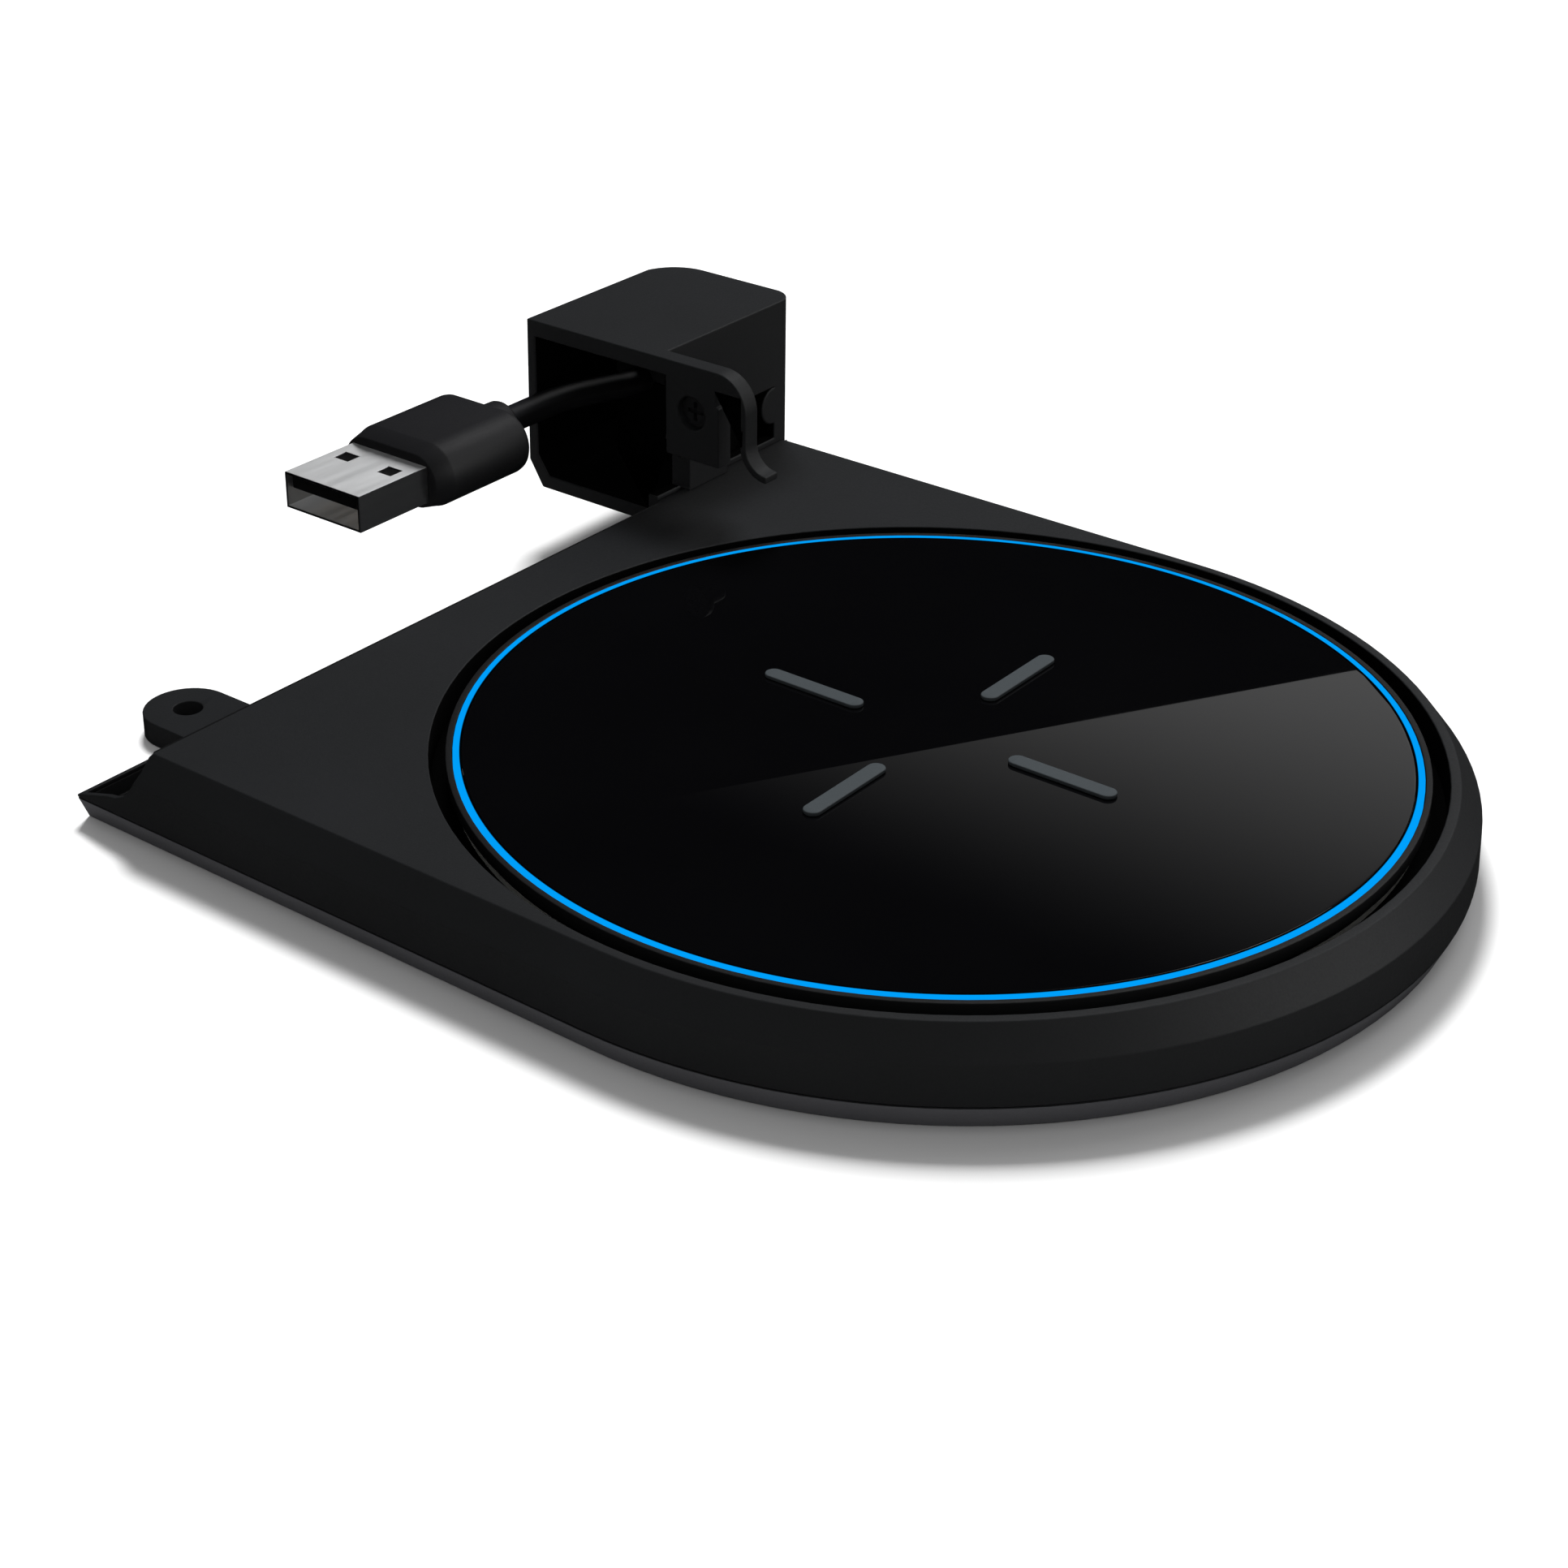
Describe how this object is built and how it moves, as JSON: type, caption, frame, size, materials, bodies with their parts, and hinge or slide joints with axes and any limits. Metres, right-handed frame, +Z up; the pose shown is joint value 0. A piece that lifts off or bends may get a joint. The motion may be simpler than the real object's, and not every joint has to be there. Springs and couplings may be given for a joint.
{
  "type": "wireless charging pad",
  "caption": "Wireless charging pad with a round glossy disc, a blue light ring, a raised open cable box, a short plug lead and a screw ear.",
  "frame": {"origin": "on the pad's underside, under the centre of the charging disc", "axes": "+Z up, out of the charging disc; +X from the square tail towards the round end; +Y towards the edge that the cable box stands at"},
  "size_m": [0.1427, 0.1124, 0.029],
  "materials": {
    "housing_plastic": "satin, fine moulded grain",
    "disc_plastic": "polished",
    "black_glass": "polished, painted black behind",
    "glow_guide": "frosted, lit from below",
    "bar_plastic": "satin",
    "plug_steel": "plain tin-plated",
    "screw_steel": "zinc plated",
    "gold_plate": "polished",
    "copper_wire": "enamelled",
    "ferrite": "dull",
    "board_green": "solder mask",
    "chip_black": "dull",
    "ceramic": "dull",
    "white_plastic": "moulded",
    "rubber_black": "dull",
    "lead_red": "extruded",
    "cord_jacket": "extruded, satin"
  },
  "bodies": {
    "root": {"top_housing": "housing_plastic", "bottom_cover": "housing_plastic", "base_pad": "rubber_black", "disc_tray": "disc_plastic", "tray_gasket": "rubber_black", "glass_top": "black_glass", "light_guide": "glow_guide", "grip_bars": "bar_plastic", "led_board": "white_plastic", "leds": "white_plastic", "charging_coil": "copper_wire", "coil_leads": "copper_wire", "thermistor": "chip_black", "ferrite_sheet": "ferrite", "main_board": "board_green", "driver_chips": "chip_black", "resonance_capacitors": "ceramic", "inductor": "ferrite", "lead_connector": "white_plastic", "inner_lead": "lead_red", "board_screws": "screw_steel", "case_screws": "screw_steel", "cable_box": "housing_plastic", "box_screws": "screw_steel", "cord_clamp": "housing_plastic", "clamp_screws": "screw_steel", "flange_screw": "screw_steel", "usb_cord": "cord_jacket", "plug_moulding": "housing_plastic", "plug_shell": "plug_steel", "plug_tongue": "chip_black", "plug_contacts": "gold_plate"}
  },
  "joints": []
}
